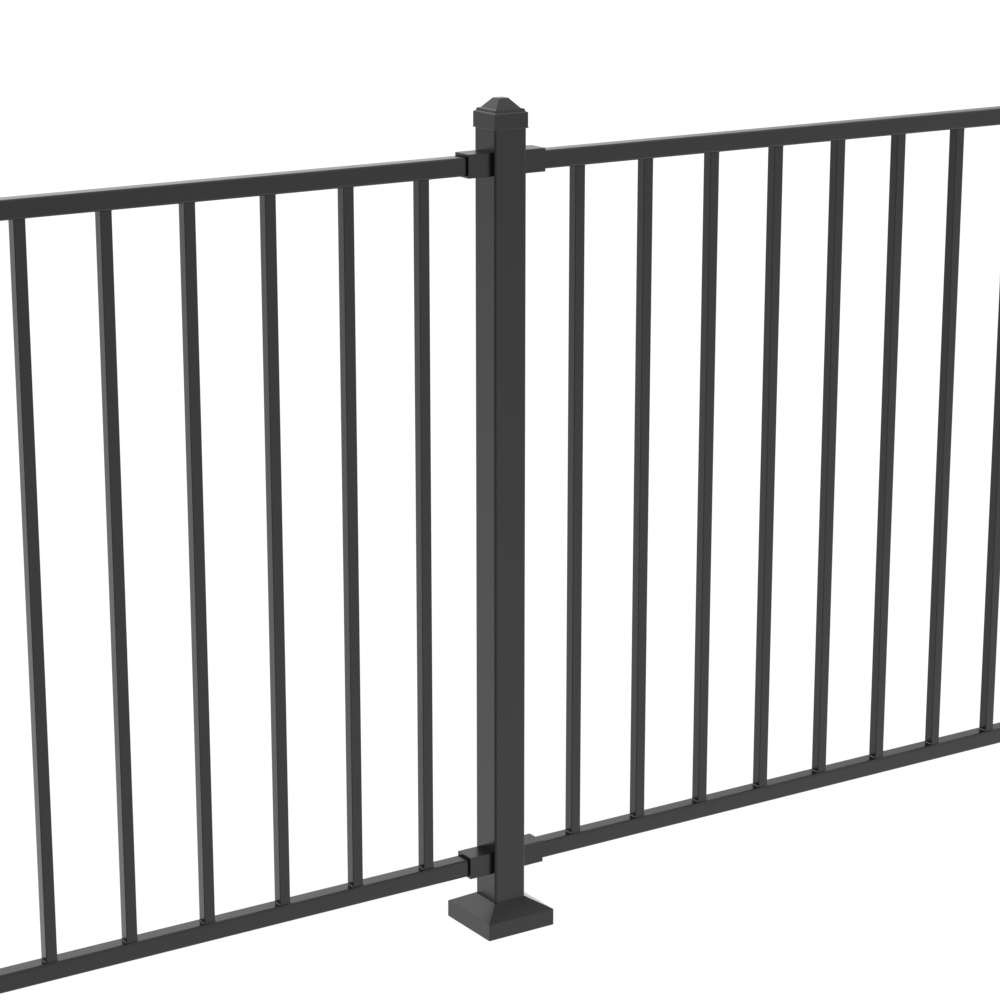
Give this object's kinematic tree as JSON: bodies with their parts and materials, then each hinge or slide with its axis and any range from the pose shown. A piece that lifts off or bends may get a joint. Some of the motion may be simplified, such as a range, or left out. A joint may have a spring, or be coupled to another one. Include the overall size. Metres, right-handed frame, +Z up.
{
  "type": "metal railing",
  "caption": "Black powder-coated metal guard railing of square balusters between square posts with stepped pyramid caps, socket brackets and sloped base covers.",
  "frame": {"origin": "middle of the centre post's base plate, on its underside at ground level", "axes": "+X along the railing, +Y across it to the far side in the picture, +Z up"},
  "size_m": [3.8504, 0.11, 1.1866],
  "materials": {
    "tube_coat": "satin black powder coat on square steel tube",
    "cast_coat": "satin black powder coat on formed and cast fittings",
    "plate_coat": "black powder coat on flat steel plate"
  },
  "bodies": {
    "root": {"left_post": "tube_coat", "left_base_plate": "plate_coat", "left_base_cover": "cast_coat", "left_post_cap": "cast_coat", "middle_post": "tube_coat", "middle_base_plate": "plate_coat", "middle_base_cover": "cast_coat", "middle_post_cap": "cast_coat", "right_post": "tube_coat", "right_base_plate": "plate_coat", "right_base_cover": "cast_coat", "right_post_cap": "cast_coat", "left_panel": "tube_coat", "left_bay_lower_left_bracket": "cast_coat", "left_bay_lower_right_bracket": "cast_coat", "left_bay_upper_left_bracket": "cast_coat", "left_bay_upper_right_bracket": "cast_coat", "right_panel": "tube_coat", "right_bay_lower_left_bracket": "cast_coat", "right_bay_lower_right_bracket": "cast_coat", "right_bay_upper_left_bracket": "cast_coat", "right_bay_upper_right_bracket": "cast_coat"}
  },
  "joints": []
}
